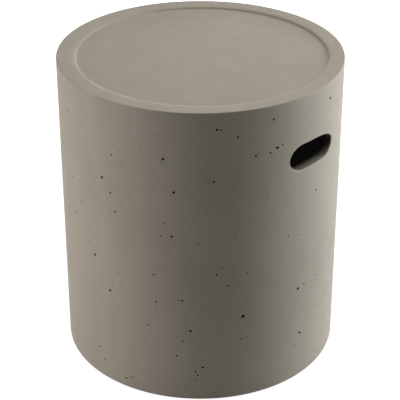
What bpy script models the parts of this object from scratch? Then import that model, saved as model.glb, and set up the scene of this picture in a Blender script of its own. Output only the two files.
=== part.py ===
"""Outdoor side table: a hollow drum cast in one piece, with a shallow tray top and two hand holes.

The drum stands on rubber pads, each held by a screw in an insert that is cast into its foot ring.
Metres, +Z up. The origin is on the ground under the middle of the drum. The hand holes face +X and -X.
"""

import math

import bmesh
import bpy

# Overall size
DRUM_DIAMETER = 0.406
TABLE_HEIGHT = 0.457

# Drum walls
WALL_THICKNESS = 0.016
TOP_THICKNESS = 0.022
INNER_CORNER_RADIUS = 0.014
BASE_EDGE_RADIUS = 0.0045

# Tray top: a flat rim round a shallow recess
RIM_WIDTH = 0.0225
RIM_EDGE_RADIUS = 0.001
TRAY_DEPTH = 0.005
TRAY_FILLET_RADIUS = 0.0065

# Hand holes: level slots with rounded corners and lightly eased edges. One upper corner is far longer.
HAND_HOLE_LENGTH = 0.0935
HAND_HOLE_HEIGHT = 0.0385
HAND_HOLE_BELOW_RIM = 0.091
HAND_HOLE_CORNER_LENGTH = 0.0235
HAND_HOLE_LONG_CORNER_LENGTH = 0.05
HAND_HOLE_EDGE_RADIUS = 0.0015

# Foot ring: the wall turned in at the bottom, to carry the pads and inserts
PAD_MARGIN = 0.00225
INSERT_COVER = 0.006
FOOT_RING_SLOPE = math.radians(45)
FOOT_RING_EDGE_RADIUS = 0.003

# Foot pads
PAD_COUNT = 4
FIRST_PAD_ANGLE = math.radians(45)
PAD_DIAMETER = 0.022
PAD_PROUD = 0.0015
PAD_WEB_THICKNESS = 0.00225
PAD_EDGE_RADIUS = 0.0008

# Button head screws
SCREW_DIAMETER = 0.005
SCREW_LENGTH = 0.016
SCREW_HEAD_DIAMETER = 0.0095
SCREW_HEAD_HEIGHT = 0.00275
SCREW_FACE_DIAMETER = 0.005
SCREW_TIP_CHAMFER = 0.0005
KEY_WIDTH = 0.003
KEY_DEPTH = 0.0016

# Inserts: a stem between two collars that key it into the casting
INSERT_WALL_THICKNESS = 0.0022
INSERT_END_THICKNESS = 0.005
COLLAR_WIDTH = 0.001
COLLAR_THICKNESS = 0.002

# Clearances
SEAT_GAP = 0.0003
HEAD_CLEARANCE = 0.0005
HEAD_RECESS = 0.0007
TIP_CLEARANCE = 0.002

# Facets
DRUM_SEGMENTS = 96
PAD_SEGMENTS = 24
SCREW_SEGMENTS = 20
HAND_HOLE_CORNER_STEPS = 8
HAND_HOLE_SIDE_STEPS = 6

# How far a cutter runs past the face that it opens
CUT_MARGIN = 0.004

# Radii that follow from the sizes above
DRUM_RADIUS = DRUM_DIAMETER / 2
INNER_RADIUS = DRUM_RADIUS - WALL_THICKNESS
FOOT_RING_WIDTH = BASE_EDGE_RADIUS + PAD_DIAMETER + 2 * PAD_MARGIN + FOOT_RING_EDGE_RADIUS
FOOT_RING_INNER_RADIUS = DRUM_RADIUS - FOOT_RING_WIDTH
PAD_RADIUS = PAD_DIAMETER / 2
PAD_CIRCLE_RADIUS = DRUM_RADIUS - BASE_EDGE_RADIUS - PAD_MARGIN - PAD_RADIUS
SHANK_RADIUS = SCREW_DIAMETER / 2
SHANK_HOLE_RADIUS = SHANK_RADIUS + SEAT_GAP
HEAD_RADIUS = SCREW_HEAD_DIAMETER / 2
STEM_RADIUS = SHANK_HOLE_RADIUS + INSERT_WALL_THICKNESS
COLLAR_RADIUS = STEM_RADIUS + COLLAR_WIDTH

# Heights that follow, from the ground up
SCREW_FACE_Z = HEAD_RECESS
SCREW_SEAT_Z = SCREW_FACE_Z + SCREW_HEAD_HEIGHT
COUNTERBORE_TOP_Z = SCREW_SEAT_Z + SEAT_GAP
PAD_TOP_Z = COUNTERBORE_TOP_Z + PAD_WEB_THICKNESS
SOCKET_FLOOR_Z = PAD_TOP_Z + SEAT_GAP
SCREW_TIP_Z = SCREW_SEAT_Z + SCREW_LENGTH
INSERT_BORE_TOP_Z = SCREW_TIP_Z + TIP_CLEARANCE
INSERT_TOP_Z = INSERT_BORE_TOP_Z + INSERT_END_THICKNESS
FOOT_RING_TOP_Z = INSERT_TOP_Z + INSERT_COVER
HAND_HOLE_Z = TABLE_HEIGHT - HAND_HOLE_BELOW_RIM
TRAY_FLOOR_Z = TABLE_HEIGHT - TRAY_DEPTH
CEILING_Z = TRAY_FLOOR_Z - TOP_THICKNESS


def remove_old_objects():
    for item in list(bpy.data.objects):
        bpy.data.objects.remove(item, do_unlink=True)


def plain_material(name, color, roughness, metallic=0.0):
    material = bpy.data.materials.new(name)
    material.use_nodes = True
    shader = material.node_tree.nodes["Principled BSDF"]
    shader.inputs["Base Color"].default_value = (*color, 1.0)
    shader.inputs["Roughness"].default_value = roughness
    shader.inputs["Metallic"].default_value = metallic
    return material


def arc(center_radius, center_z, radius, start_degrees, end_degrees, steps):
    """A rounded corner of a turned profile, as (radius, z) pairs."""
    points = []
    for step in range(steps + 1):
        angle = math.radians(start_degrees + (end_degrees - start_degrees) * step / steps)
        points.append((center_radius + radius * math.cos(angle), center_z + radius * math.sin(angle)))
    return points


def bridge_rings(solid, rings):
    """Join each ring of vertices to the next with quads."""
    for ring, next_ring in zip(rings, rings[1:]):
        for index, vertex in enumerate(ring):
            following = (index + 1) % len(ring)
            solid.faces.new((vertex, next_ring[index], next_ring[following], ring[following]))


def finish_object(name, solid, material=None):
    bmesh.ops.recalc_face_normals(solid, faces=solid.faces)
    mesh = bpy.data.meshes.new(name)
    solid.to_mesh(mesh)
    solid.free()
    mesh.shade_smooth()
    mesh.set_sharp_from_angle(angle=math.radians(35))
    if material:
        mesh.materials.append(material)
    item = bpy.data.objects.new(name, mesh)
    bpy.context.collection.objects.link(item)
    return item


def turned_object(name, profile, segments, material=None, has_bore=False):
    """Turn (radius, z) points about Z. The profile's ends are capped, or meet where a bore goes through."""
    solid = bmesh.new()
    rings = []
    for radius, z in profile:
        ring = []
        for segment in range(segments):
            angle = 2 * math.pi * segment / segments
            ring.append(solid.verts.new((radius * math.cos(angle), radius * math.sin(angle), z)))
        rings.append(ring)
    if has_bore:
        bridge_rings(solid, rings + rings[:1])
    else:
        bridge_rings(solid, rings)
        solid.faces.new(rings[0])
        solid.faces.new(rings[-1])
    return finish_object(name, solid, material)


def mark_as_cutter(item):
    item.hide_render = True
    item.display_type = "WIRE"


def cut(item, cutter):
    modifier = item.modifiers.new(cutter.name, "BOOLEAN")
    modifier.operation = "DIFFERENCE"
    modifier.object = cutter


def drum_profile():
    """The drum's section, from the tray floor over the rim, down the wall and up inside to the ceiling."""
    fillet_height = min(TRAY_DEPTH, TRAY_FILLET_RADIUS)
    fillet_degrees = math.degrees(math.acos(1 - fillet_height / TRAY_FILLET_RADIUS))
    tray_edge_radius = DRUM_RADIUS - RIM_WIDTH
    tray_floor_radius = tray_edge_radius - TRAY_FILLET_RADIUS * math.sin(math.radians(fillet_degrees))
    fillet_center_z = TRAY_FLOOR_Z + TRAY_FILLET_RADIUS
    profile = arc(tray_floor_radius, fillet_center_z, TRAY_FILLET_RADIUS, -90, fillet_degrees - 90, 4)
    if TRAY_DEPTH > TRAY_FILLET_RADIUS:
        profile.append((tray_edge_radius, TABLE_HEIGHT))
    rim_center_z = TABLE_HEIGHT - RIM_EDGE_RADIUS
    profile += arc(DRUM_RADIUS - RIM_EDGE_RADIUS, rim_center_z, RIM_EDGE_RADIUS, 90, 0, 2)
    base_center_z = PAD_PROUD + BASE_EDGE_RADIUS
    profile += arc(DRUM_RADIUS - BASE_EDGE_RADIUS, base_center_z, BASE_EDGE_RADIUS, 0, -90, 4)
    ring_center_radius = FOOT_RING_INNER_RADIUS + FOOT_RING_EDGE_RADIUS
    ring_center_z = PAD_PROUD + FOOT_RING_EDGE_RADIUS
    profile += arc(ring_center_radius, ring_center_z, FOOT_RING_EDGE_RADIUS, -90, -180, 2)
    slope_rise = (INNER_RADIUS - FOOT_RING_INNER_RADIUS) * math.tan(FOOT_RING_SLOPE)
    profile.append((FOOT_RING_INNER_RADIUS, FOOT_RING_TOP_Z))
    profile.append((INNER_RADIUS, FOOT_RING_TOP_Z + slope_rise))
    corner_center_z = CEILING_Z - INNER_CORNER_RADIUS
    profile += arc(INNER_RADIUS - INNER_CORNER_RADIUS, corner_center_z, INNER_CORNER_RADIUS, 0, 90, 4)
    return profile


def slot_outline(grow):
    """A hand hole's outline as (across, up) pairs, widened all round by grow.

    Each corner is a quarter of an ellipse, as high as half the hole. The long one is above, towards +Y.
    """
    half_height = HAND_HOLE_HEIGHT / 2 + grow
    corner_lengths = (
        HAND_HOLE_CORNER_LENGTH,
        HAND_HOLE_LONG_CORNER_LENGTH,
        HAND_HOLE_CORNER_LENGTH,
        HAND_HOLE_CORNER_LENGTH,
    )
    points = []
    for number, length in enumerate(corner_lengths):
        side = 1 if number < 2 else -1
        middle = side * (HAND_HOLE_LENGTH / 2 - length)
        for step in range(HAND_HOLE_CORNER_STEPS):
            angle = math.pi / 2 * (number - 1 + step / HAND_HOLE_CORNER_STEPS)
            points.append((middle + (length + grow) * math.cos(angle), half_height * math.sin(angle)))
        if number % 2 == 1:
            next_middle = side * (HAND_HOLE_CORNER_LENGTH - HAND_HOLE_LENGTH / 2)
            for step in range(HAND_HOLE_SIDE_STEPS):
                across = middle + (next_middle - middle) * step / HAND_HOLE_SIDE_STEPS
                points.append((across, side * half_height))
    return points


def make_hand_hole_cutter(name, side):
    """A plug through the wall, which flares at both faces of the wall to ease the hole's edges.

    Each section follows the drum's curve. The plug at -X (side -1) mirrors the one at +X (side 1).
    """
    knee_angle = math.radians(60)
    knee_depth = HAND_HOLE_EDGE_RADIUS * (1 - math.cos(knee_angle))
    knee_grow = HAND_HOLE_EDGE_RADIUS * (1 - math.sin(knee_angle))
    mouth_grow = knee_grow + knee_depth + CUT_MARGIN
    sections = (
        (DRUM_RADIUS + CUT_MARGIN, mouth_grow),
        (DRUM_RADIUS - knee_depth, knee_grow),
        (DRUM_RADIUS - HAND_HOLE_EDGE_RADIUS, 0.0),
        (INNER_RADIUS + HAND_HOLE_EDGE_RADIUS, 0.0),
        (INNER_RADIUS + knee_depth, knee_grow),
        (INNER_RADIUS - CUT_MARGIN, mouth_grow),
    )
    widest = HAND_HOLE_LENGTH / 2 + mouth_grow
    outer_cap_x = DRUM_RADIUS + 2 * CUT_MARGIN
    inner_cap_x = math.sqrt((INNER_RADIUS - CUT_MARGIN) ** 2 - widest ** 2) - CUT_MARGIN

    solid = bmesh.new()
    rings = []
    for surface_radius, grow in (sections[:1] + sections + sections[-1:]):
        ring = []
        for across, up in slot_outline(grow):
            out = math.sqrt(surface_radius ** 2 - across ** 2)
            ring.append(solid.verts.new((side * out, across, HAND_HOLE_Z + up)))
        rings.append(ring)
    for vertex in rings[0]:
        vertex.co.x = side * outer_cap_x
    for vertex in rings[-1]:
        vertex.co.x = side * inner_cap_x
    bridge_rings(solid, rings)
    solid.faces.new(rings[0])
    solid.faces.new(rings[-1])
    cutter = finish_object(name, solid)
    mark_as_cutter(cutter)
    return cutter


def make_drum(material):
    drum = turned_object("drum_casting", drum_profile(), DRUM_SEGMENTS, material)
    cut(drum, make_hand_hole_cutter("hand_hole_cutter_right", 1))
    cut(drum, make_hand_hole_cutter("hand_hole_cutter_left", -1))
    return drum


def make_socket_cutter(name):
    """The pad's socket in the base and, above it, the insert's place in the concrete."""
    lower_step_z = SOCKET_FLOOR_Z + COLLAR_THICKNESS + SEAT_GAP
    upper_step_z = INSERT_TOP_Z - COLLAR_THICKNESS - SEAT_GAP
    profile = (
        (PAD_RADIUS + SEAT_GAP, PAD_PROUD - CUT_MARGIN),
        (PAD_RADIUS + SEAT_GAP, SOCKET_FLOOR_Z),
        (COLLAR_RADIUS + SEAT_GAP, SOCKET_FLOOR_Z),
        (COLLAR_RADIUS + SEAT_GAP, lower_step_z),
        (STEM_RADIUS + SEAT_GAP, lower_step_z),
        (STEM_RADIUS + SEAT_GAP, upper_step_z),
        (COLLAR_RADIUS + SEAT_GAP, upper_step_z),
        (COLLAR_RADIUS + SEAT_GAP, INSERT_TOP_Z + SEAT_GAP),
    )
    cutter = turned_object(name, profile, PAD_SEGMENTS)
    mark_as_cutter(cutter)
    return cutter


def make_pad(name, material):
    """A round rubber pad with a shank hole, and a counterbore for the screw's head underneath."""
    counterbore_radius = HEAD_RADIUS + HEAD_CLEARANCE
    profile = [(PAD_RADIUS, PAD_TOP_Z)]
    profile += arc(PAD_RADIUS - PAD_EDGE_RADIUS, PAD_EDGE_RADIUS, PAD_EDGE_RADIUS, 0, -90, 2)
    profile += [
        (counterbore_radius, 0.0),
        (counterbore_radius, COUNTERBORE_TOP_Z),
        (SHANK_HOLE_RADIUS, COUNTERBORE_TOP_Z),
        (SHANK_HOLE_RADIUS, PAD_TOP_Z),
    ]
    return turned_object(name, profile, PAD_SEGMENTS, material, has_bore=True)


def make_key_cutter(name):
    """The six-sided recess for a key in the screw's head."""
    corner_radius = KEY_WIDTH / math.sqrt(3)
    profile = ((corner_radius, SCREW_FACE_Z - CUT_MARGIN), (corner_radius, SCREW_FACE_Z + KEY_DEPTH))
    cutter = turned_object(name, profile, 6)
    mark_as_cutter(cutter)
    return cutter


def make_screw(name, material):
    """A button head screw, standing on its head."""
    face_radius = SCREW_FACE_DIAMETER / 2
    dome_steps = 4
    profile = [
        (SHANK_RADIUS - SCREW_TIP_CHAMFER, SCREW_TIP_Z),
        (SHANK_RADIUS, SCREW_TIP_Z - SCREW_TIP_CHAMFER),
        (SHANK_RADIUS, SCREW_SEAT_Z),
    ]
    for step in range(dome_steps + 1):
        angle = math.pi / 2 * step / dome_steps
        radius = face_radius + (HEAD_RADIUS - face_radius) * math.cos(angle)
        profile.append((radius, SCREW_SEAT_Z - SCREW_HEAD_HEIGHT * math.sin(angle)))
    return turned_object(name, profile, SCREW_SEGMENTS, material)


def make_insert(name, material):
    """A blind sleeve for the screw, open at the socket's floor."""
    profile = (
        (SHANK_HOLE_RADIUS, INSERT_BORE_TOP_Z),
        (SHANK_HOLE_RADIUS, SOCKET_FLOOR_Z),
        (COLLAR_RADIUS, SOCKET_FLOOR_Z),
        (COLLAR_RADIUS, SOCKET_FLOOR_Z + COLLAR_THICKNESS),
        (STEM_RADIUS, SOCKET_FLOOR_Z + COLLAR_THICKNESS),
        (STEM_RADIUS, INSERT_TOP_Z - COLLAR_THICKNESS),
        (COLLAR_RADIUS, INSERT_TOP_Z - COLLAR_THICKNESS),
        (COLLAR_RADIUS, INSERT_TOP_Z),
    )
    return turned_object(name, profile, PAD_SEGMENTS, material)


def make_foot(number, drum, rubber, steel, nylon):
    """One pad with its screw and insert, placed on the foot ring by an empty on the ground."""
    angle = FIRST_PAD_ANGLE + 2 * math.pi * (number - 1) / PAD_COUNT
    place = bpy.data.objects.new(f"foot_{number}", None)
    place.location = (PAD_CIRCLE_RADIUS * math.cos(angle), PAD_CIRCLE_RADIUS * math.sin(angle), 0.0)
    place.rotation_euler.z = angle
    bpy.context.collection.objects.link(place)
    socket_cutter = make_socket_cutter(f"socket_cutter_{number}")
    key_cutter = make_key_cutter(f"key_cutter_{number}")
    pad = make_pad(f"foot_pad_{number}", rubber)
    screw = make_screw(f"foot_screw_{number}", steel)
    insert = make_insert(f"foot_insert_{number}", nylon)
    for item in (socket_cutter, key_cutter, pad, screw, insert):
        item.parent = place
    cut(drum, socket_cutter)
    cut(screw, key_cutter)


def main():
    remove_old_objects()
    concrete = plain_material("concrete", (0.36, 0.32, 0.26), 0.85)
    rubber = plain_material("rubber", (0.03, 0.03, 0.03), 0.8)
    steel = plain_material("stainless_steel", (0.55, 0.54, 0.52), 0.35, metallic=1.0)
    nylon = plain_material("nylon", (0.62, 0.60, 0.55), 0.5)
    drum = make_drum(concrete)
    for number in range(1, PAD_COUNT + 1):
        make_foot(number, drum, rubber, steel, nylon)


main()
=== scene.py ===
import math
import random

import bmesh
import bpy
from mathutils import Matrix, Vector


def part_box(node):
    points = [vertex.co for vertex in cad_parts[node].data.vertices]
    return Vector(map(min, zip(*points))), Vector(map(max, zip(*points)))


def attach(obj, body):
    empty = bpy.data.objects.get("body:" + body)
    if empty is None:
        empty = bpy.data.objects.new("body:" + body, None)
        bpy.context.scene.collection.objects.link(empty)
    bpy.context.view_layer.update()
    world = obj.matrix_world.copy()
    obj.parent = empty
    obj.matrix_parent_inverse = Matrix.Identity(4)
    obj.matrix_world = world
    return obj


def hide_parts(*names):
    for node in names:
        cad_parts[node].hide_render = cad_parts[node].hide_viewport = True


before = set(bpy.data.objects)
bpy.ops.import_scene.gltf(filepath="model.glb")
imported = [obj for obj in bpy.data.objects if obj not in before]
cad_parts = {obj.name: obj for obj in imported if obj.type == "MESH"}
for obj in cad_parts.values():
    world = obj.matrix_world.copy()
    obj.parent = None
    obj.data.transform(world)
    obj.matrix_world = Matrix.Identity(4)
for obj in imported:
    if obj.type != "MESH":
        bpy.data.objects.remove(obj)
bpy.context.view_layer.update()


# Drum casting: the top, the rim, the wall and the foot ring of the table, cast in one piece in a
# round mould. The mix is grey glass fibre concrete, left as it came out of the mould, so its skin
# has pinholes where air was trapped, and a faint line on two sides where the mould's halves met.
MM = 0.001
drum_low, drum_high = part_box("drum_casting")
DRUM_RADIUS = drum_high.x
BASE_Z = drum_low.z
RIM_Z = drum_high.z
DRUM_SEGMENTS = 640
WALL_ROWS = 38
WALL_THICKNESS = 16 * MM
TOP_THICKNESS = 22 * MM
TRAY_DEPTH = 5 * MM
RIM_WIDTH = 17.6 * MM
RIM_SLOPE = 2.5
RIM_EDGE_RADIUS = 1.0 * MM
SHOULDER_RADIUS = 28 * MM
SHOULDER_SLOPE = 14
LIP_RADIUS = 2.4 * MM
STEEPEST_SLOPE = 78
TRAY_STEPS = 6
TRAY_OFFSET = (0.5 * MM, 2.8 * MM, 0)
BASE_EDGE_RADIUS = 4.5 * MM
FOOT_RING_WIDTH = 34 * MM
FOOT_RING_TOP_Z = 32.45 * MM
FOOT_RING_EDGE_RADIUS = 3.0 * MM
INNER_CORNER_RADIUS = 14 * MM
INNER_CORNER_STEPS = 6
INNER_RADIUS = DRUM_RADIUS - WALL_THICKNESS
FOOT_RING_RADIUS = DRUM_RADIUS - FOOT_RING_WIDTH
FLAT_NORMAL = 0.9
SLOPING_NORMAL = 0.05
RING_TOLERANCE = 0.03 * MM
SHORTEST_WALL_EDGE = 300 * MM


def deselect_all():
    bpy.ops.object.select_all(action="DESELECT")


def edit(item):
    deselect_all()
    bpy.context.view_layer.objects.active = item
    item.select_set(True)
    bpy.ops.object.mode_set(mode="EDIT")


def select_faces(item, keep):
    """Leave selected only the faces that keep(centre, normal) picks."""
    bpy.context.tool_settings.mesh_select_mode = (False, False, True)
    mesh = bmesh.from_edit_mesh(item.data)
    for face in mesh.faces:
        face.select_set(keep(face.calc_center_median(), face.normal))
    mesh.select_flush_mode()
    bmesh.update_edit_mesh(item.data)


def select_edges(item, keep):
    """Leave selected only the edges that keep(first end, second end) picks."""
    bpy.context.tool_settings.mesh_select_mode = (False, True, False)
    mesh = bmesh.from_edit_mesh(item.data)
    for edge in mesh.edges:
        edge.select_set(keep(edge.verts[0].co, edge.verts[1].co))
    mesh.select_flush_mode()
    bmesh.update_edit_mesh(item.data)


def faces_up(centre, normal):
    return normal.z > FLAT_NORMAL


def faces_down(centre, normal):
    return normal.z < -FLAT_NORMAL


def from_axis(point):
    return math.hypot(point.x, point.y)


def is_on_ring(point, radius, z):
    return abs(from_axis(point) - radius) < RING_TOLERANCE and abs(point.z - z) < RING_TOLERANCE


def bevel_ring(item, radius, z, width, segments):
    """Round the edge that runs round the axis at this radius and height."""
    select_edges(item, lambda a, b: is_on_ring(a, radius, z) and is_on_ring(b, radius, z))
    bpy.ops.mesh.bevel(offset=width, segments=segments, profile=0.5, affect="EDGES")


def step_inward(radius_step, depth_step):
    bpy.ops.mesh.inset(thickness=radius_step, depth=depth_step, use_even_offset=True)


def turn_downward(radius, start_slope, end_slope):
    """Lead the selected face inward and down round one bend, and return how far down that goes."""
    for step in range(TRAY_STEPS):
        start = math.radians(start_slope + (end_slope - start_slope) * step / TRAY_STEPS)
        end = math.radians(start_slope + (end_slope - start_slope) * (step + 1) / TRAY_STEPS)
        inward = radius * abs(math.sin(end) - math.sin(start))
        downward = radius * abs(math.cos(end) - math.cos(start))
        step_inward(inward, -downward)
    return radius * abs(math.cos(math.radians(start_slope)) - math.cos(math.radians(end_slope)))


def make_drum_blank():
    deselect_all()
    bpy.ops.mesh.primitive_cylinder_add(
        vertices=DRUM_SEGMENTS, radius=DRUM_RADIUS, depth=RIM_Z - BASE_Z,
        location=(0, 0, (RIM_Z + BASE_Z) / 2), end_fill_type="NGON")
    bpy.ops.object.transform_apply(location=True, rotation=True, scale=True)
    blank = bpy.context.object
    blank.name = "cast_drum"
    edit(blank)

    # The rim slopes in gently, turns down over its lip and rounds out into the tray's floor.
    select_faces(blank, faces_up)
    depth = RIM_WIDTH * math.tan(math.radians(RIM_SLOPE))
    step_inward(RIM_WIDTH, -depth)
    depth += turn_downward(SHOULDER_RADIUS, RIM_SLOPE, SHOULDER_SLOPE)
    depth += turn_downward(LIP_RADIUS, SHOULDER_SLOPE, STEEPEST_SLOPE)
    rounding_radius = (TRAY_DEPTH - depth) / (1 - math.cos(math.radians(STEEPEST_SLOPE)))
    turn_downward(rounding_radius, STEEPEST_SLOPE, 0)

    # The plug that forms the tray sat a little off the middle of the mould.
    lip_start = DRUM_RADIUS - RIM_WIDTH
    select_faces(blank, lambda centre, normal: normal.z > SLOPING_NORMAL and from_axis(centre) < lip_start)
    bpy.ops.transform.translate(value=TRAY_OFFSET)

    # The hollow goes up through the foot ring, widens to the wall and rounds into the ceiling.
    select_faces(blank, faces_down)
    step_inward(FOOT_RING_WIDTH, 0)
    bpy.ops.mesh.extrude_region_move(TRANSFORM_OT_translate={"value": (0, 0, FOOT_RING_TOP_Z - BASE_Z)})
    widening = INNER_RADIUS / FOOT_RING_RADIUS
    bpy.ops.mesh.extrude_region_move(
        TRANSFORM_OT_translate={"value": (0, 0, INNER_RADIUS - FOOT_RING_RADIUS)})
    bpy.ops.transform.resize(value=(widening, widening, 1), center_override=(0, 0, 0))
    slope_top_z = FOOT_RING_TOP_Z + INNER_RADIUS - FOOT_RING_RADIUS
    corner_z = RIM_Z - TRAY_DEPTH - TOP_THICKNESS - INNER_CORNER_RADIUS
    bpy.ops.mesh.extrude_region_move(TRANSFORM_OT_translate={"value": (0, 0, corner_z - slope_top_z)})
    for step in range(INNER_CORNER_STEPS):
        start = math.pi / 2 * step / INNER_CORNER_STEPS
        end = math.pi / 2 * (step + 1) / INNER_CORNER_STEPS
        step_inward(INNER_CORNER_RADIUS * (math.cos(start) - math.cos(end)),
                    -INNER_CORNER_RADIUS * (math.sin(end) - math.sin(start)))

    bevel_ring(blank, DRUM_RADIUS, RIM_Z, RIM_EDGE_RADIUS, 4)
    bevel_ring(blank, DRUM_RADIUS, BASE_Z, BASE_EDGE_RADIUS, 6)
    bevel_ring(blank, FOOT_RING_RADIUS, BASE_Z, FOOT_RING_EDGE_RADIUS, 5)
    bevel_ring(blank, FOOT_RING_RADIUS, FOOT_RING_TOP_Z, FOOT_RING_EDGE_RADIUS, 3)

    def runs_up_the_wall(a, b):
        return abs(a.z - b.z) > SHORTEST_WALL_EDGE and min(from_axis(a), from_axis(b)) > DRUM_RADIUS - MM

    # Rows up the outer wall let it follow the mould's slight unevenness.
    select_edges(blank, runs_up_the_wall)
    bpy.ops.mesh.subdivide(number_cuts=WALL_ROWS)
    bpy.ops.object.mode_set(mode="OBJECT")
    return blank


# The mould parts at these two lines, and its halves never meet quite flush there.
SEAM_AZIMUTH = 15.8
SEAM_DEPTH = 0.09 * MM
UNEVENNESS = 0.2 * MM
UNEVENNESS_SPAN = 90 * MM


def fade_at_ends(height, steepness):
    """1 over most of the wall, down to 0 at its base and at its rim."""
    return min(1, steepness * height, steepness * (1 - height))


def wear_in_the_mould(blank):
    """Sink the wall a little where the mould is uneven, and along its two parting lines."""
    wall = [v for v in blank.data.vertices
            if from_axis(v.co) > DRUM_RADIUS - 0.01 * MM and BASE_Z + BASE_EDGE_RADIUS < v.co.z + MM < RIM_Z]
    uneven = blank.vertex_groups.new(name="uneven_wall")
    seam_step = 360 / DRUM_SEGMENTS
    seam_side = round(SEAM_AZIMUTH / seam_step) * seam_step
    for vertex in wall:
        height = (vertex.co.z - BASE_Z) / (RIM_Z - BASE_Z)
        uneven.add([vertex.index], fade_at_ends(height, 6), "REPLACE")
        azimuth = math.degrees(math.atan2(vertex.co.x, -vertex.co.y)) % 180
        if abs(azimuth - seam_side) < seam_step / 4:
            depth = SEAM_DEPTH * min(1, 0.35 + 1.2 * height) * fade_at_ends(height, 12)
            vertex.co.x *= 1 - depth / DRUM_RADIUS
            vertex.co.y *= 1 - depth / DRUM_RADIUS
    lumps = bpy.data.textures.new("mould_unevenness", "CLOUDS")
    lumps.noise_scale = UNEVENNESS_SPAN
    lumps.noise_depth = 1
    sink = blank.modifiers.new("mould_unevenness", "DISPLACE")
    sink.texture = lumps
    sink.vertex_group = "uneven_wall"
    sink.mid_level = 1
    sink.strength = UNEVENNESS
    deselect_all()
    bpy.context.view_layer.objects.active = blank
    bpy.ops.object.modifier_apply(modifier=sink.name)


def cut_away(item, cutter):
    """Take the cutter's shape out of the piece, and throw the cutter away."""
    difference = item.modifiers.new("cut", "BOOLEAN")
    difference.operation = "DIFFERENCE"
    difference.solver = "EXACT"
    difference.object = cutter
    deselect_all()
    bpy.context.view_layer.objects.active = item
    bpy.ops.object.modifier_apply(modifier=difference.name)
    bpy.data.objects.remove(cutter)


# Each hand hole is a plug left out of the mould, with rounded corners and both its mouths lightly
# eased. The corner above, towards +Y, is far longer than the others.
HAND_HOLE_LENGTH = 93.5 * MM
HAND_HOLE_HEIGHT = 38.5 * MM
HAND_HOLE_Z = RIM_Z - 91 * MM
CORNER_LENGTH = 23.5 * MM
LONG_CORNER_LENGTH = 50 * MM
HAND_HOLE_EASING = 1.5 * MM
HAND_HOLE_SEGMENTS = 72
EASING_STEPS = 5
EASING_SWEEP = math.radians(82)
PLUG_MARGIN = 0.15 * MM
PLUG_REACH_IN = 14 * MM
PLUG_REACH_OUT = 4 * MM
STRAIGHT_CUTS = 11


def select_points(item, keep):
    """Leave selected only the vertices that keep(place) picks."""
    bpy.context.tool_settings.mesh_select_mode = (True, False, False)
    mesh = bmesh.from_edit_mesh(item.data)
    for vertex in mesh.verts:
        vertex.select_set(keep(vertex.co))
    mesh.select_flush_mode()
    bmesh.update_edit_mesh(item.data)


def mouth_profile():
    """How far under the surface, and how much wider than the hole, each ring of an eased mouth is."""
    rings = []
    for step in range(EASING_STEPS + 1):
        angle = EASING_SWEEP * step / EASING_STEPS
        rings.append((HAND_HOLE_EASING * (1 - math.sin(angle)), HAND_HOLE_EASING * (1 - math.cos(angle))))
    depth, growth = rings[-1]
    rings.append((-PLUG_MARGIN, growth + (depth + PLUG_MARGIN) * math.tan(EASING_SWEEP)))
    return rings


def stretch_corner(plug, end, level, length):
    """Stretch one round corner of the plug to its length, and move it out to its end of the hole."""
    select_points(plug, lambda place: end * place.y > 0 and level * (place.z - HAND_HOLE_Z) >= -0.01 * MM)
    bpy.ops.transform.resize(
        value=(1, 2 * length / HAND_HOLE_HEIGHT, 1), center_override=(0, 0, HAND_HOLE_Z))
    bpy.ops.transform.translate(value=(0, end * (HAND_HOLE_LENGTH / 2 - length), 0))


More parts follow.
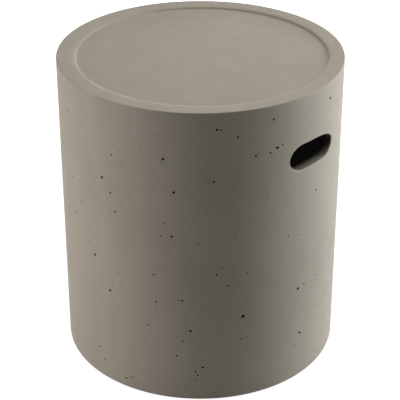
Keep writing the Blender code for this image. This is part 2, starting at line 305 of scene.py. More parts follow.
def make_hand_hole_plug():
    half_height = HAND_HOLE_HEIGHT / 2
    inner_end = INNER_RADIUS - PLUG_REACH_IN
    outer_end = DRUM_RADIUS + PLUG_REACH_OUT
    rings = [(INNER_RADIUS + depth, growth) for depth, growth in reversed(mouth_profile())]
    rings += [(DRUM_RADIUS - depth, growth) for depth, growth in mouth_profile()]

    deselect_all()
    bpy.ops.mesh.primitive_cylinder_add(
        vertices=HAND_HOLE_SEGMENTS, radius=half_height, depth=outer_end - inner_end,
        location=((outer_end + inner_end) / 2, 0, HAND_HOLE_Z), rotation=(0, math.pi / 2, 0),
        end_fill_type="NGON")
    bpy.ops.object.transform_apply(location=True, rotation=True, scale=True)
    plug = bpy.context.object
    edit(plug)
    bpy.ops.mesh.select_all(action="SELECT")
    bpy.ops.transform.rotate(
        value=math.pi / HAND_HOLE_SEGMENTS, orient_axis="X", center_override=(0, 0, HAND_HOLE_Z))
    stretch_corner(plug, -1, 1, CORNER_LENGTH)
    stretch_corner(plug, -1, -1, CORNER_LENGTH)
    stretch_corner(plug, 1, -1, CORNER_LENGTH)
    stretch_corner(plug, 1, 1, LONG_CORNER_LENGTH)
    straight_half = HAND_HOLE_LENGTH / 2 - CORNER_LENGTH
    for cut in range(STRAIGHT_CUTS):
        step = cut - STRAIGHT_CUTS // 2
        bpy.ops.mesh.select_all(action="SELECT")
        bpy.ops.mesh.bisect(plane_co=(0, straight_half * step / (STRAIGHT_CUTS / 2), 0), plane_no=(0, 1, 0))
    for radius, _ in rings:
        bpy.ops.mesh.select_all(action="SELECT")
        bpy.ops.mesh.bisect(plane_co=(radius, 0, 0), plane_no=(1, 0, 0))

    # Each ring is widened and laid round the drum's curve.
    mesh = bmesh.from_edit_mesh(plug.data)
    for vertex in mesh.verts:
        radius, growth = min(rings, key=lambda ring: abs(ring[0] - vertex.co.x))
        end = 1 if vertex.co.y > 0 else -1
        length = LONG_CORNER_LENGTH if end > 0 and vertex.co.z > HAND_HOLE_Z else CORNER_LENGTH
        into_corner = max(0, abs(vertex.co.y) - HAND_HOLE_LENGTH / 2 + length)
        vertex.co.y += end * growth * into_corner / length
        vertex.co.z += growth * (vertex.co.z - HAND_HOLE_Z) / half_height
        if inner_end + MM < vertex.co.x < outer_end - MM:
            vertex.co.x = math.sqrt(radius ** 2 - vertex.co.y ** 2)
    bmesh.update_edit_mesh(plug.data)

    # The hole on the other side is its mirror image.
    bpy.ops.mesh.select_all(action="SELECT")
    bpy.ops.mesh.duplicate()
    bpy.ops.transform.resize(value=(-1, 1, 1), center_override=(0, 0, 0))
    bpy.ops.mesh.flip_normals()
    bpy.ops.object.mode_set(mode="OBJECT")
    return plug


# Four sockets in the foot ring take the pads, with a cast-in insert above each.
pad_low, pad_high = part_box("foot_pad_1")
insert_low, insert_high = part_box("foot_insert_1")
FOOT_NUMBERS = (1, 2, 3, 4)
SEAT_GAP = 0.3 * MM
SOCKET_SEGMENTS = 64
PAD_RADIUS = (pad_high.x - pad_low.x) / 2
INSERT_RADIUS = (insert_high.x - insert_low.x) / 2


def foot_middle(number):
    low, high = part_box(f"foot_pad_{number}")
    return (low.x + high.x) / 2, (low.y + high.y) / 2


def stack_round(sections, segments, place):
    """Build a round piece upwards from its base, with one ring for each (radius, height)."""
    x, y = place
    radius, z = sections[0]
    bpy.ops.mesh.primitive_circle_add(vertices=segments, radius=radius, fill_type="NGON", location=(x, y, z))
    bpy.ops.object.mode_set(mode="EDIT")
    bpy.ops.mesh.select_all(action="SELECT")
    for next_radius, next_z in sections[1:]:
        bpy.ops.mesh.extrude_region_move(TRANSFORM_OT_translate={"value": (0, 0, next_z - z)})
        bpy.ops.transform.resize(
            value=(next_radius / radius, next_radius / radius, 1), center_override=(x, y, next_z))
        radius, z = next_radius, next_z
    bpy.ops.mesh.select_all(action="SELECT")
    bpy.ops.mesh.normals_make_consistent(inside=False)
    bpy.ops.object.mode_set(mode="OBJECT")
    bpy.ops.object.transform_apply(location=True, rotation=True, scale=True)
    return bpy.context.object


def make_socket_core(number):
    deselect_all()
    return stack_round(
        ((PAD_RADIUS + SEAT_GAP, BASE_Z - MM),
         (PAD_RADIUS + SEAT_GAP, insert_low.z),
         (INSERT_RADIUS + SEAT_GAP, insert_low.z),
         (INSERT_RADIUS + SEAT_GAP, insert_high.z + SEAT_GAP)),
        SOCKET_SEGMENTS, foot_middle(number))


# Pinholes, each an air bubble that the skin broke open on. The biggest of the shown side are listed:
# degrees round from its middle, millimetres below the rim, width, and height for width if not round.
SHOWN_SIDE = 40.4
BIG_PINHOLES = (
    (60, 25, 4), (28, 20, 3), (6, 24, 3.5), (14, 37, 3), (30, 63, 5, 0.75), (21, 68, 3), (27, 68, 3),
    (-14, 69, 4), (5, 100, 3), (-10, 117, 4), (-41, 119, 4), (-37, 138, 3), (52, 154, 3),
    (-35, 165, 2.5, 1.5), (-11, 185, 3.5), (-47, 250, 4), (-7, 286, 3), (-39, 297, 4), (43, 300, 4.5),
    (17, 317, 5), (-4, 336, 3.5), (45, 379, 4), (1, 398, 3.5), (-1, 411, 3),
)
BUBBLE_SINK = 0.45
SHOWN_SIDE_REACH = 72
FAR_SIDE_REACH = 288
PINHOLE_BAND = (12 * MM, 444 * MM)
CLEAR_BESIDE_HAND_HOLE = 58 * MM
CLEAR_ABOVE_HAND_HOLE = 30 * MM

# How many more there are, and their widths, or on the top their bubbles' radii, in millimetres.
SHOWN_SIDE_PINHOLES, SHOWN_SIDE_WIDTHS = 64, (1.4, 2.8)
FAR_SIDE_PINHOLES, FAR_SIDE_WIDTHS = 100, (1.4, 4.6)
SMALL_PINHOLES, SMALL_WIDTHS = 340, (0.9, 1.9)
TOP_PINHOLES, TOP_BUBBLE_RADII = 9, (0.4, 0.7)


def choose_pinholes():
    """All pinholes as (degrees round, distance below the rim, width, height for width), none touching."""
    chance = random.Random(11)
    chosen = [(SHOWN_SIDE + hole[0], hole[1] * MM, hole[2] * MM, hole[3] if len(hole) > 3 else 1)
              for hole in BIG_PINHOLES]

    def is_free(azimuth, below, width):
        across_hand_hole = DRUM_RADIUS * math.radians(abs((azimuth + 180) % 180 - 90))
        above_hand_hole = abs(RIM_Z - below - HAND_HOLE_Z)
        if across_hand_hole < CLEAR_BESIDE_HAND_HOLE and above_hand_hole < CLEAR_ABOVE_HAND_HOLE:
            return False
        for other_azimuth, other_below, other_width, _ in chosen:
            across = DRUM_RADIUS * math.radians((azimuth - other_azimuth + 180) % 360 - 180)
            if math.hypot(across, below - other_below) < 0.8 * (width + other_width) + 0.3 * MM:
                return False
        return True

    def scatter(count, azimuths, widths, clustered):
        """Add pinholes all over one side, of which this share sits near another one."""
        wanted = len(chosen) + count
        while len(chosen) < wanted:
            azimuth = chance.uniform(*azimuths)
            below = (14 + 426 * chance.random() ** 0.75) * MM
            width = (widths[0] + (widths[1] - widths[0]) * chance.random() ** 2.2) * MM
            if chance.random() < clustered:
                neighbour = chance.choice(chosen)
                azimuth, below = chance.gauss(neighbour[0], 3), chance.gauss(neighbour[1], 9 * MM)
            is_in_reach = azimuths[0] < azimuth < azimuths[1] and PINHOLE_BAND[0] < below < PINHOLE_BAND[1]
            if is_in_reach and is_free(azimuth, below, width):
                chosen.append((azimuth, below, width, chance.uniform(0.75, 1.3)))

    first = SHOWN_SIDE - SHOWN_SIDE_REACH
    middle = SHOWN_SIDE + SHOWN_SIDE_REACH
    last = SHOWN_SIDE + FAR_SIDE_REACH
    scatter(SHOWN_SIDE_PINHOLES, (first, middle), SHOWN_SIDE_WIDTHS, 0.4)
    scatter(FAR_SIDE_PINHOLES, (middle, last), FAR_SIDE_WIDTHS, 0.3)
    scatter(SMALL_PINHOLES, (first, last), SMALL_WIDTHS, 0.4)
    return chosen, chance


def make_bubbles():
    """Small round cutters in one mesh, which sit just under the skin so that each pinhole is undercut."""
    chosen, chance = choose_pinholes()
    places = []
    for azimuth, below, width, height in chosen:
        size = width / 2 / math.sqrt(1 - BUBBLE_SINK ** 2)
        around = math.radians(azimuth)
        radius = DRUM_RADIUS - BUBBLE_SINK * size
        places.append((radius * math.sin(around), -radius * math.cos(around), RIM_Z - below, size, height))
    for _ in range(TOP_PINHOLES):
        around = chance.uniform(0, 2 * math.pi)
        size = chance.uniform(*TOP_BUBBLE_RADII) * MM
        radius = chance.choice((chance.uniform(0.2, 0.84), 0.945)) * DRUM_RADIUS
        rim_drop = (DRUM_RADIUS - radius) * math.tan(math.radians(RIM_SLOPE))
        top_z = RIM_Z - (rim_drop if radius > DRUM_RADIUS - RIM_WIDTH else TRAY_DEPTH)
        x, y = radius * math.sin(around), -radius * math.cos(around)
        places.append((x, y, top_z - BUBBLE_SINK * size, size, 1))

    deselect_all()
    bpy.ops.mesh.primitive_ico_sphere_add(subdivisions=1, radius=MM, location=(0, 0, 0))
    bubbles = bpy.context.object
    edit(bubbles)
    bpy.ops.mesh.select_all(action="SELECT")
    bpy.ops.mesh.delete(type="VERT")
    for number, (x, y, z, size, height) in enumerate(places):
        bpy.ops.mesh.primitive_ico_sphere_add(
            subdivisions=2 if size > 0.9 * MM else 1, radius=size, location=(x, y, z),
            rotation=(number, 2 * number, 0))
        bpy.ops.transform.resize(value=(1, 1, height), center_override=(x, y, z))
        bpy.ops.transform.vertex_random(offset=0.12 * size, uniform=1, normal=0, seed=number)
    bpy.ops.object.mode_set(mode="OBJECT")
    return bubbles


SLIVER_SIZE = 0.002 * MM
FEWEST_CUT_SIDES = 5
MOST_CUT_SIDES = 100
SHARPEST_SMOOTH_ANGLE = math.radians(35)


def finish_shading(item):
    """Close the slivers that cutting has left, and smooth the shading across curves but not at edges."""
    # Merging could lose a face with a cut in it, so those are split into triangles first.
    edit(item)
    bpy.context.tool_settings.mesh_select_mode = (False, False, True)
    mesh = bmesh.from_edit_mesh(item.data)
    for face in mesh.faces:
        face.select_set(FEWEST_CUT_SIDES <= len(face.verts) <= MOST_CUT_SIDES)
    bmesh.update_edit_mesh(item.data)
    bpy.ops.mesh.quads_convert_to_tris(quad_method="BEAUTY", ngon_method="BEAUTY")
    bpy.ops.mesh.select_all(action="SELECT")
    bpy.ops.mesh.remove_doubles(threshold=SLIVER_SIZE)
    bpy.ops.mesh.dissolve_degenerate(threshold=SLIVER_SIZE)
    bpy.ops.object.mode_set(mode="OBJECT")
    deselect_all()
    bpy.context.view_layer.objects.active = item
    item.select_set(True)
    bpy.ops.object.shade_smooth_by_angle(angle=SHARPEST_SMOOTH_ANGLE)
    weigh = item.modifiers.new("weighted_normals", "WEIGHTED_NORMAL")
    weigh.keep_sharp = True
    bpy.ops.object.modifier_apply(modifier=weigh.name)


# The skin is cloudy grey with fine sand in it. Inside the pinholes it is rougher and painted dark as shade,
# and painted shade makes it nearly black through the hand holes. The hollow behind them is painted dark grey
# as shade.
CONCRETE_LIGHT = (0.386, 0.340, 0.277, 1)
CONCRETE_DARK = (0.349, 0.306, 0.247, 1)
SAND_COLOR = (0.46, 0.43, 0.37, 1)
PINHOLE_PAINTED_SHADE = (0.045, 0.039, 0.032, 1)
DEEP_PAINTED_SHADE = (0.030, 0.027, 0.023, 1)
HOLLOW_PAINTED_SHADE = (0.125, 0.113, 0.092, 1)
CEILING_Z = RIM_Z - TRAY_DEPTH - TOP_THICKNESS
PORE_CELLS_PER_METRE = 300
PORED_CELLS = 0.62
SEAM_SHOWN = 0.35


def new_paint(name):
    paint = bpy.data.materials.new(name)
    paint.use_nodes = True
    return paint


def add_node(paint, kind, sockets=None, **settings):
    """Add a node, with each socket that is named or numbered set to a value or linked to an output."""
    node = paint.node_tree.nodes.new("ShaderNode" + kind)
    for name, value in settings.items():
        setattr(node, name, value)
    for name, value in (sockets or {}).items():
        connect(paint, node, name, value)
    return node


def connect(paint, node, name, value):
    if isinstance(value, bpy.types.NodeSocket):
        paint.node_tree.links.new(value, node.inputs[name])
    else:
        node.inputs[name].default_value = value


def shader_of(paint):
    return paint.node_tree.nodes["Principled BSDF"]


def object_place(paint):
    """The coordinates that every pattern reads, in metres from the middle of the table's foot."""
    return add_node(paint, "TexCoord").outputs["Object"]


def noise(paint, place, lumps_per_metre, detail=3, stretch=(1, 1, 1), roughness=0.5):
    """A cloudy pattern from 0 to 1, with this many lumps to a metre."""
    stretched = add_node(paint, "Mapping", {"Vector": place, "Scale": stretch})
    return add_node(paint, "TexNoise", {
        "Vector": stretched.outputs[0], "Scale": lumps_per_metre, "Detail": detail,
        "Roughness": roughness}).outputs["Fac"]


def remap(paint, value, low, high, to_low=0.0, to_high=1.0):
    node = add_node(paint, "MapRange", {
        "Value": value, "From Min": low, "From Max": high, "To Min": to_low, "To Max": to_high})
    return node.outputs["Result"]


def multiply(paint, first, second):
    return add_node(paint, "Math", {0: first, 1: second}, operation="MULTIPLY").outputs[0]


def mix_colors(paint, amount, first, second):
    mix = add_node(paint, "MixRGB", {"Fac": amount, "Color1": first, "Color2": second})
    return mix.outputs["Color"]


def bump(paint, height, depth, under=None):
    """Raise the surface by up to depth where height is 1, over the bump that is already there."""
    sockets = {"Height": height, "Distance": depth, "Strength": 1.0}
    if under:
        sockets["Normal"] = under
    return add_node(paint, "Bump", sockets).outputs["Normal"]


def distance_from_middle(paint, place):
    flat = add_node(paint, "VectorMath", {0: place, 1: (1, 1, 0)}, operation="MULTIPLY").outputs["Vector"]
    return add_node(paint, "VectorMath", {0: flat}, operation="LENGTH").outputs["Value"]


def painted_shade_inside(paint, place, from_middle, height):
    """How much painted shade goes on: 0 on the outside of the drum, half way to 1 just inside a hand hole's
    mouth, and 1 in the hollow.
    """
    at_mouth = remap(paint, from_middle, DRUM_RADIUS - 0.7 * MM, DRUM_RADIUS - 2.2 * MM, 0, 0.55)
    through_wall = remap(paint, from_middle, DRUM_RADIUS - 2.2 * MM, INNER_RADIUS + 3 * MM, 0, 0.45)
    in_wall = add_node(paint, "Math", {0: at_mouth, 1: through_wall}, operation="ADD").outputs[0]
    under_top = remap(paint, height, CEILING_Z + 2 * MM, CEILING_Z + MM)
    over_base = remap(paint, height, BASE_Z + BASE_EDGE_RADIUS, BASE_Z + 40 * MM)
    return multiply(paint, multiply(paint, in_wall, under_top), over_base)


def seam_line(paint, place, from_middle, height):
    """1 along the two lines where the mould parts, strongest near the rim, and 0 elsewhere."""
    around = math.radians(SEAM_AZIMUTH)
    beside = add_node(paint, "VectorMath", {0: place, 1: (math.cos(around), math.sin(around), 0)},
                      operation="DOT_PRODUCT").outputs["Value"]
    beside = add_node(paint, "Math", {0: beside}, operation="ABSOLUTE").outputs[0]
    on_line = remap(paint, beside, 1.1 * MM, 0.3 * MM)
    on_wall = remap(paint, from_middle, DRUM_RADIUS - 1.2 * MM, DRUM_RADIUS - 0.7 * MM)
    near_rim = remap(paint, height, 150 * MM, 420 * MM, 0.2, 1)
    return multiply(paint, multiply(paint, on_line, on_wall), near_rim)


def paint_concrete():
    paint = new_paint("cast_concrete")
    place = object_place(paint)
    clouds = noise(paint, place, 8, 4)
    streaks = noise(paint, place, 1, 3, stretch=(34, 34, 6))
    patches = noise(paint, place, 60, 3)
    sand = noise(paint, place, 1150, 2)
    cloudy = add_node(paint, "Math", {0: clouds, 1: 0.65, 2: multiply(paint, streaks, 0.35)},
                      operation="MULTIPLY_ADD").outputs[0]
    color = mix_colors(paint, remap(paint, cloudy, 0.36, 0.64), CONCRETE_DARK, CONCRETE_LIGHT)
    color = mix_colors(paint, remap(paint, patches, 0.45, 0.75, 0, 0.35), color, CONCRETE_LIGHT)
    color = mix_colors(paint, remap(paint, sand, 0.58, 0.78, 0, 0.45), color, SAND_COLOR)

    # Pores too small to model: some cells of this pattern have one, dented in the bump and painted dark as
    # the shade in it.
    cells = add_node(paint, "TexVoronoi", {"Vector": place, "Scale": PORE_CELLS_PER_METRE})
    is_pored = add_node(paint, "Math", {0: cells.outputs["Color"], 1: PORED_CELLS}, operation="GREATER_THAN")
    is_pored = is_pored.outputs[0]
    pores = multiply(paint, is_pored, remap(paint, cells.outputs["Distance"], 0.16, 0.07))
    color = mix_colors(paint, multiply(paint, pores, 0.7), color, PINHOLE_PAINTED_SHADE)

    from_middle = distance_from_middle(paint, place)
    height = add_node(paint, "SeparateXYZ", {"Vector": place}).outputs["Z"]
    seam = multiply(paint, seam_line(paint, place, from_middle, height), SEAM_SHOWN)
    color = mix_colors(paint, seam, color, SAND_COLOR)
    # Painted shade: nearly black down a hand hole's sides, and dark grey over the hollow, rising from the
    # foot ring.
    is_hollow = remap(paint, from_middle, INNER_RADIUS + 1.2 * MM, INNER_RADIUS + 0.2 * MM)
    inside = mix_colors(paint, is_hollow, DEEP_PAINTED_SHADE, HOLLOW_PAINTED_SHADE)
    color = mix_colors(paint, painted_shade_inside(paint, place, from_middle, height), color, inside)
    relief = bump(paint, patches, 0.12 * MM)
    relief = bump(paint, sand, 0.03 * MM, relief)
    relief = bump(paint, pores, -0.3 * MM, relief)
    shader = shader_of(paint)
    connect(paint, shader, "Base Color", color)
    connect(paint, shader, "Roughness", remap(paint, patches, 0.3, 0.7, 0.62, 0.76))
    connect(paint, shader, "Normal", relief)
    connect(paint, shader, "Specular IOR Level", 0.2)
    return paint


def paint_pinholes():
    paint = new_paint("pinhole_grit_and_painted_shade")
    place = object_place(paint)
    grit = noise(paint, place, 1500, 2)
    # The insides of the pinholes are painted dark as shade, with rough grit.
    shader = shader_of(paint)
    connect(paint, shader, "Base Color", mix_colors(paint, grit, DEEP_PAINTED_SHADE, PINHOLE_PAINTED_SHADE))
    connect(paint, shader, "Roughness", remap(paint, grit, 0.3, 0.7, 0.8, 0.95))
    connect(paint, shader, "Normal", bump(paint, grit, 0.15 * MM))
    connect(paint, shader, "Specular IOR Level", 0.1)
    return paint


def coat(item, *paints):
    item.data.materials.clear()
    for paint in paints:
        item.data.materials.append(paint)


# The bubbles carry both finishes too, so that what they cut open takes the second one, with the pinholes'
# painted shade.
cast_skin, shaded_pinhole_skin = paint_concrete(), paint_pinholes()
drum = make_drum_blank()
wear_in_the_mould(drum)
cut_away(drum, make_hand_hole_plug())
for foot_number in FOOT_NUMBERS:
    cut_away(drum, make_socket_core(foot_number))
coat(drum, cast_skin, shaded_pinhole_skin)
bubbles = make_bubbles()
coat(bubbles, cast_skin, shaded_pinhole_skin)
for face in bubbles.data.polygons:
    face.material_index = 1
cut_away(drum, bubbles)
finish_shading(drum)
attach(drum, "root")
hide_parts("drum_casting")


# Rubber foot pads: moulded black rubber, one in each socket of the foot ring. A groove in the tread
# grips the ground, and a counterbore takes the head of the screw that holds the pad.
PAD_SEGMENTS = 72
PAD_TOP_Z = pad_high.z
COUNTERBORE_RADIUS = 5.25 * MM
COUNTERBORE_TOP_Z = 3.75 * MM
SHANK_HOLE_RADIUS = 2.8 * MM
GROOVE_RADIUS = 8.7 * MM
GROOVE_WIDTH = 0.8 * MM
GROOVE_DEPTH = 0.4 * MM
GROOVE_SLANT = 0.12 * MM
PAD_EDGE_RADIUS = 0.8 * MM
PAD_TOP_EDGE_RADIUS = 0.4 * MM
COUNTERBORE_EDGE_RADIUS = 0.4 * MM
SHANK_HOLE_EDGE_RADIUS = 0.2 * MM
RUBBER_COLOR = (0.030, 0.030, 0.030, 1)
RUBBER_DUST = (0.085, 0.080, 0.072, 1)


def make_pad_model():
    """One pad, standing on the ground under the middle of the drum."""
    deselect_all()
    bpy.ops.mesh.primitive_cylinder_add(
        vertices=PAD_SEGMENTS, radius=PAD_RADIUS, depth=PAD_TOP_Z, location=(0, 0, PAD_TOP_Z / 2),
        end_fill_type="NGON")
    bpy.ops.object.transform_apply(location=True, rotation=True, scale=True)
    pad = bpy.context.object
    edit(pad)
    select_faces(pad, faces_down)
    step_inward(PAD_RADIUS - GROOVE_RADIUS, 0)
    step_inward(GROOVE_SLANT, -GROOVE_DEPTH)
    step_inward(GROOVE_WIDTH - 2 * GROOVE_SLANT, 0)
    step_inward(GROOVE_SLANT, GROOVE_DEPTH)
    step_inward(GROOVE_RADIUS - GROOVE_WIDTH - COUNTERBORE_RADIUS, 0)
    bpy.ops.mesh.extrude_region_move(TRANSFORM_OT_translate={"value": (0, 0, COUNTERBORE_TOP_Z)})
    step_inward(COUNTERBORE_RADIUS - SHANK_HOLE_RADIUS, 0)
    select_faces(pad, faces_up)
    step_inward(PAD_RADIUS - SHANK_HOLE_RADIUS, 0)

    # The two middle faces are opened into one hole right through.
    select_faces(pad, lambda centre, normal: abs(normal.z) > FLAT_NORMAL and from_axis(centre) < 0.1 * MM)
    bpy.ops.mesh.bridge_edge_loops()
    bevel_ring(pad, PAD_RADIUS, 0, PAD_EDGE_RADIUS, 5)
    bevel_ring(pad, PAD_RADIUS, PAD_TOP_Z, PAD_TOP_EDGE_RADIUS, 2)
    bevel_ring(pad, COUNTERBORE_RADIUS, 0, COUNTERBORE_EDGE_RADIUS, 3)
    bevel_ring(pad, SHANK_HOLE_RADIUS, PAD_TOP_Z, SHANK_HOLE_EDGE_RADIUS, 2)
    bpy.ops.object.mode_set(mode="OBJECT")
    finish_shading(pad)
    return pad


def place_at_feet(model, name, node_name, paint):
    """Put one copy of the model at each foot, turned as that foot is, and throw the model away."""
    coat(model, paint)
    for number in FOOT_NUMBERS:
        x, y = foot_middle(number)
        copy = model.copy()
        copy.data = model.data.copy()
        copy.name = f"{name}_{number}"
        bpy.context.scene.collection.objects.link(copy)
        copy.location = (x, y, 0)
        copy.rotation_euler.z = math.atan2(y, x)
        deselect_all()
        copy.select_set(True)
        bpy.context.view_layer.objects.active = copy
        bpy.ops.object.transform_apply(location=True, rotation=True, scale=True)
        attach(copy, "root")
        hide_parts(f"{node_name}_{number}")
    bpy.data.objects.remove(model)


def paint_rubber():
    """Black rubber with a little dust of the yard on its tread."""
    paint = new_paint("black_rubber")
    place = object_place(paint)
    grain = noise(paint, place, 1800, 2)
    scuffs = noise(paint, place, 260, 3)
    height = add_node(paint, "SeparateXYZ", {"Vector": place}).outputs["Z"]
    near_ground = remap(paint, height, 1.2 * MM, 0.2 * MM, 0.15, 0.7)
    dusty = multiply(paint, remap(paint, scuffs, 0.4, 0.7), near_ground)
    shader = shader_of(paint)
    connect(paint, shader, "Base Color", mix_colors(paint, dusty, RUBBER_COLOR, RUBBER_DUST))
    connect(paint, shader, "Roughness", remap(paint, scuffs, 0.3, 0.7, 0.62, 0.82))
    connect(paint, shader, "Normal", bump(paint, grain, 0.02 * MM))
    connect(paint, shader, "Specular IOR Level", 0.35)
    return paint


place_at_feet(make_pad_model(), "rubber_pad", "foot_pad", paint_rubber())


# Pad screws: stainless M5 button heads with a six-sided recess, one through each pad into its insert.
# The head is turned and the thread rolled, so the steel shows fine rings round its axis.
SCREW_TIP_Z = 19.45 * MM
SCREW_SEAT_Z = 3.45 * MM
SCREW_FACE_Z = 0.7 * MM
SCREW_HEAD_RADIUS = 4.75 * MM
SCREW_FACE_RADIUS = 2.5 * MM
DOME_STEPS = 7
THREAD_RADIUS = 2.5 * MM
CORE_RADIUS = 2.05 * MM
THREAD_PITCH = 0.8 * MM
THREAD_TURNS = 17
THREAD_STEPS = 24
THREAD_START = math.radians(2.6)
THREAD_HALF_HEIGHT = 0.36 * MM
THREAD_ROOT_RADIUS = CORE_RADIUS - 0.15 * MM
THREAD_MERGE = 0.002 * MM
KEY_RADIUS = 1.732 * MM
KEY_DEPTH = 1.6 * MM
KEY_SIDES = 6
SCREW_SEGMENTS = 48
STEEL_COLOR = (0.55, 0.54, 0.52, 1)
STEEL_DULL = (0.42, 0.41, 0.39, 1)


def make_thread():
    """The thread's ridge: one three-sided section wound up round the shank."""
    deselect_all()
    start_z = SCREW_TIP_Z - 0.7 * MM - THREAD_TURNS * THREAD_PITCH
    bpy.ops.mesh.primitive_circle_add(
        vertices=3, radius=0.4 * MM, fill_type="NGON", location=(0, 0, start_z), rotation=(math.pi / 2, 0, 0))
    bpy.ops.object.transform_apply(location=True, rotation=True, scale=True)
    ridge = bpy.context.object
    edit(ridge)
    mesh = bmesh.from_edit_mesh(ridge.data)
    corners = ((THREAD_ROOT_RADIUS, -THREAD_HALF_HEIGHT), (THREAD_RADIUS, 0),
               (THREAD_ROOT_RADIUS, THREAD_HALF_HEIGHT))
    for vertex, (radius, height) in zip(mesh.verts, corners):
        vertex.co = (radius * math.cos(THREAD_START), radius * math.sin(THREAD_START), start_z + height)
    bmesh.update_edit_mesh(ridge.data)
    bpy.ops.object.mode_set(mode="OBJECT")
    wind = ridge.modifiers.new("wind", "SCREW")
    wind.axis = "Z"
    wind.angle = 2 * math.pi
    wind.screw_offset = THREAD_PITCH
    wind.iterations = THREAD_TURNS
    wind.steps = THREAD_STEPS
    wind.render_steps = THREAD_STEPS
    wind.use_merge_vertices = False
    bpy.ops.object.modifier_apply(modifier=wind.name)
    edit(ridge)
    bpy.ops.mesh.select_all(action="SELECT")
    bpy.ops.mesh.remove_doubles(threshold=THREAD_MERGE)
    bpy.ops.mesh.fill_holes(sides=4)
    bpy.ops.mesh.normals_make_consistent(inside=False)
    bpy.ops.object.mode_set(mode="OBJECT")
    return ridge


def make_screw_model():
    """One screw, standing on its head under the middle of the drum."""
    sections = []
    for step in range(DOME_STEPS + 1):
        angle = math.pi / 2 * step / DOME_STEPS
        sections.append((SCREW_FACE_RADIUS + (SCREW_HEAD_RADIUS - SCREW_FACE_RADIUS) * math.sin(angle),
                         SCREW_SEAT_Z - (SCREW_SEAT_Z - SCREW_FACE_Z) * math.cos(angle)))
    sections += [(THREAD_RADIUS, SCREW_SEAT_Z), (THREAD_RADIUS, SCREW_SEAT_Z + MM),
                 (CORE_RADIUS, SCREW_SEAT_Z + 1.5 * MM), (CORE_RADIUS, SCREW_TIP_Z - 0.5 * MM),
                 (CORE_RADIUS - 0.4 * MM, SCREW_TIP_Z)]
    deselect_all()
    screw = stack_round(sections, SCREW_SEGMENTS, (0, 0))
    join = screw.modifiers.new("thread", "BOOLEAN")
    join.operation = "UNION"
    join.solver = "EXACT"
    join.object = make_thread()
    deselect_all()
    bpy.context.view_layer.objects.active = screw
    ridge = join.object
    bpy.ops.object.modifier_apply(modifier=join.name)
    bpy.data.objects.remove(ridge)
    deselect_all()
    cut_away(screw, stack_round(
        ((KEY_RADIUS * 1.08, SCREW_FACE_Z - 0.4 * MM), (KEY_RADIUS, SCREW_FACE_Z + 0.15 * MM),
         (KEY_RADIUS, SCREW_FACE_Z + KEY_DEPTH), (0.2 * KEY_RADIUS, SCREW_FACE_Z + KEY_DEPTH + 0.5 * MM)),
        KEY_SIDES, (0, 0)))
    finish_shading(screw)
    return screw


def paint_steel():
    """Stainless steel, a little dull from its pickling, with fine turning rings."""
    paint = new_paint("stainless_steel")
    place = object_place(paint)
    dull = noise(paint, place, 420, 3)
    rings = noise(paint, place, 1, 2, stretch=(400, 400, 9000))
    shader = shader_of(paint)
    color = mix_colors(paint, remap(paint, dull, 0.4, 0.7), STEEL_COLOR, STEEL_DULL)
    connect(paint, shader, "Base Color", color)
    connect(paint, shader, "Metallic", 1.0)
    connect(paint, shader, "Roughness", remap(paint, dull, 0.3, 0.7, 0.28, 0.44))
    connect(paint, shader, "Normal", bump(paint, rings, 0.01 * MM))
    return paint


place_at_feet(make_screw_model(), "pad_screw", "foot_screw", paint_steel())


# Screw inserts: sleeves of natural nylon, cast into the foot ring above the pads. Two collars key each
# one into the concrete. Their shapes are right as they come, so they only get the nylon's finish.
NYLON_COLOR = (0.62, 0.60, 0.55, 1)
NYLON_SHADE = (0.54, 0.52, 0.47, 1)


def paint_nylon():
    paint = new_paint("natural_nylon")
    place = object_place(paint)
    cloudy = noise(paint, place, 180, 3)
    grain = noise(paint, place, 2200, 2)
    shader = shader_of(paint)
    color = mix_colors(paint, remap(paint, cloudy, 0.35, 0.65), NYLON_COLOR, NYLON_SHADE)
    connect(paint, shader, "Base Color", color)
    connect(paint, shader, "Roughness", remap(paint, cloudy, 0.3, 0.7, 0.42, 0.55))
    connect(paint, shader, "Normal", bump(paint, grain, 0.015 * MM))
    return paint


nylon = paint_nylon()
for foot_number in FOOT_NUMBERS:
    insert = bpy.data.objects[f"foot_insert_{foot_number}"]
    for finish_slot in insert.material_slots:
        finish_slot.material = nylon


# Floor: a pale studio floor that reads white in the picture and still keeps the table's shadow.
FLOOR_SHOWN = 0.93
FLOOR_GREY = 0.3
FLOOR_RADIUS = 9
FLOOR_SEGMENTS = 96


def shown_rays(nodes, links):
    """1 for rays from the camera, a reflection or a clear material, and 0 for the rays that light things."""
    path = nodes.new("ShaderNodeLightPath")
    total = path.outputs["Is Camera Ray"]
    for name in ("Is Glossy Ray", "Is Transmission Ray"):
        either = nodes.new("ShaderNodeMath")
        either.operation = "MAXIMUM"
        links.new(total, either.inputs[0])
        links.new(path.outputs[name], either.inputs[1])
        total = either.outputs[0]
    return total


def paint_floor():
    paint = bpy.data.materials.new("studio_floor")
    paint.use_nodes = True
    nodes, links = paint.node_tree.nodes, paint.node_tree.links
    nodes.clear()
    matt = nodes.new("ShaderNodeBsdfDiffuse")
    matt.inputs["Color"].default_value = (FLOOR_GREY, FLOOR_GREY, FLOOR_GREY, 1)
    glow = nodes.new("ShaderNodeEmission")
    strength = nodes.new("ShaderNodeMath")
    strength.operation = "MULTIPLY"
    strength.inputs[1].default_value = FLOOR_SHOWN
    links.new(shown_rays(nodes, links), strength.inputs[0])
    links.new(strength.outputs[0], glow.inputs["Strength"])
    both = nodes.new("ShaderNodeAddShader")
    links.new(matt.outputs[0], both.inputs[0])
    links.new(glow.outputs[0], both.inputs[1])
    output = nodes.new("ShaderNodeOutputMaterial")
    links.new(both.outputs[0], output.inputs["Surface"])
    return paint


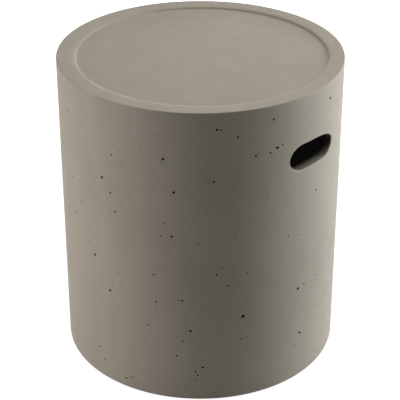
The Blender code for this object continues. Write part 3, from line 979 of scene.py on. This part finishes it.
deselect_all()
bpy.ops.mesh.primitive_circle_add(
    vertices=FLOOR_SEGMENTS, radius=FLOOR_RADIUS, fill_type="NGON", location=(0, 0, 0))
floor = bpy.context.object
floor.name = "studio_floor"
floor.data.materials.append(paint_floor())


# Studio light: white surroundings, and soft boxes round the table, a little cooler low on its right.
WHITE_LIGHT = (1, 1, 1)
COOL_LIGHT = (0.93, 1, 1.04)
LIGHT_DISTANCE = 1.7
LIGHT_AIM = Vector((0, 0, 230 * MM))
WIDE_BOX = (0.7, 0.6)
SQUARE_BOX = (0.7, 0.7)
SMALL_BOX = (0.5, 0.4)


def light_surroundings():
    """White where the surroundings are seen or mirrored, and no light from them on the table."""
    world = bpy.data.worlds.new("studio_surroundings")
    bpy.context.scene.world = world
    world.use_nodes = True
    nodes, links = world.node_tree.nodes, world.node_tree.links
    background = nodes["Background"]
    background.inputs["Color"].default_value = (1, 1, 1, 1)
    links.new(shown_rays(nodes, links), background.inputs["Strength"])


def add_soft_box(name, round_from_camera, height_angle, size, power, color):
    """A soft box that faces the table's middle, so many degrees round from the camera and up."""
    around = math.radians(SHOWN_SIDE + round_from_camera)
    up = math.radians(height_angle)
    toward = Vector((math.sin(around) * math.cos(up), -math.cos(around) * math.cos(up), math.sin(up)))
    box_light = bpy.data.lights.new(name, "AREA")
    box_light.shape = "RECTANGLE"
    box_light.size, box_light.size_y = size
    box_light.energy = power
    box_light.color = color
    lamp = bpy.data.objects.new(name, box_light)
    lamp.location = LIGHT_AIM + toward * LIGHT_DISTANCE
    lamp.rotation_euler = toward.to_track_quat("Z", "Y").to_euler()
    bpy.context.scene.collection.objects.link(lamp)


light_surroundings()
add_soft_box("left_front_box", -60, 3, WIDE_BOX, 9.5, WHITE_LIGHT)
add_soft_box("left_box", -90, 3, WIDE_BOX, 7, WHITE_LIGHT)
add_soft_box("left_high_box", -90, 58, SQUARE_BOX, 7.5, WHITE_LIGHT)
add_soft_box("right_box", 90, 3, WIDE_BOX, 15, COOL_LIGHT)
add_soft_box("right_low_box", 105, 16, SMALL_BOX, 7.5, COOL_LIGHT)
add_soft_box("right_rear_box", 120, 30, SMALL_BOX, 8, COOL_LIGHT)
add_soft_box("right_high_box", 90, 58, SQUARE_BOX, 12, WHITE_LIGHT)
add_soft_box("rear_box", 180, 3, WIDE_BOX, 20, WHITE_LIGHT)


# Camera: set where the table was seen from.
CAMERA_ELEVATION = 28.66
CAMERA_DISTANCE = 2.0221
CAMERA_TARGET = Vector((0, 0, 229.25 * MM))
SENSOR_WIDTH = 36
LENS_LENGTH = 122.18
LENS_SHIFT = (-0.0011, -0.0162)
round_side = math.radians(SHOWN_SIDE)
raised = math.radians(CAMERA_ELEVATION)
toward_camera = Vector((math.sin(round_side) * math.cos(raised), -math.cos(round_side) * math.cos(raised),
                        math.sin(raised)))
lens = bpy.data.cameras.new("studio_camera")
lens.sensor_width = SENSOR_WIDTH
lens.lens = LENS_LENGTH
lens.shift_x, lens.shift_y = LENS_SHIFT
camera = bpy.data.objects.new("studio_camera", lens)
camera.location = CAMERA_TARGET + toward_camera * CAMERA_DISTANCE
camera.rotation_euler = toward_camera.to_track_quat("Z", "Y").to_euler()
bpy.context.scene.collection.objects.link(camera)
bpy.context.scene.camera = camera
bpy.context.scene.view_settings.view_transform = "Standard"
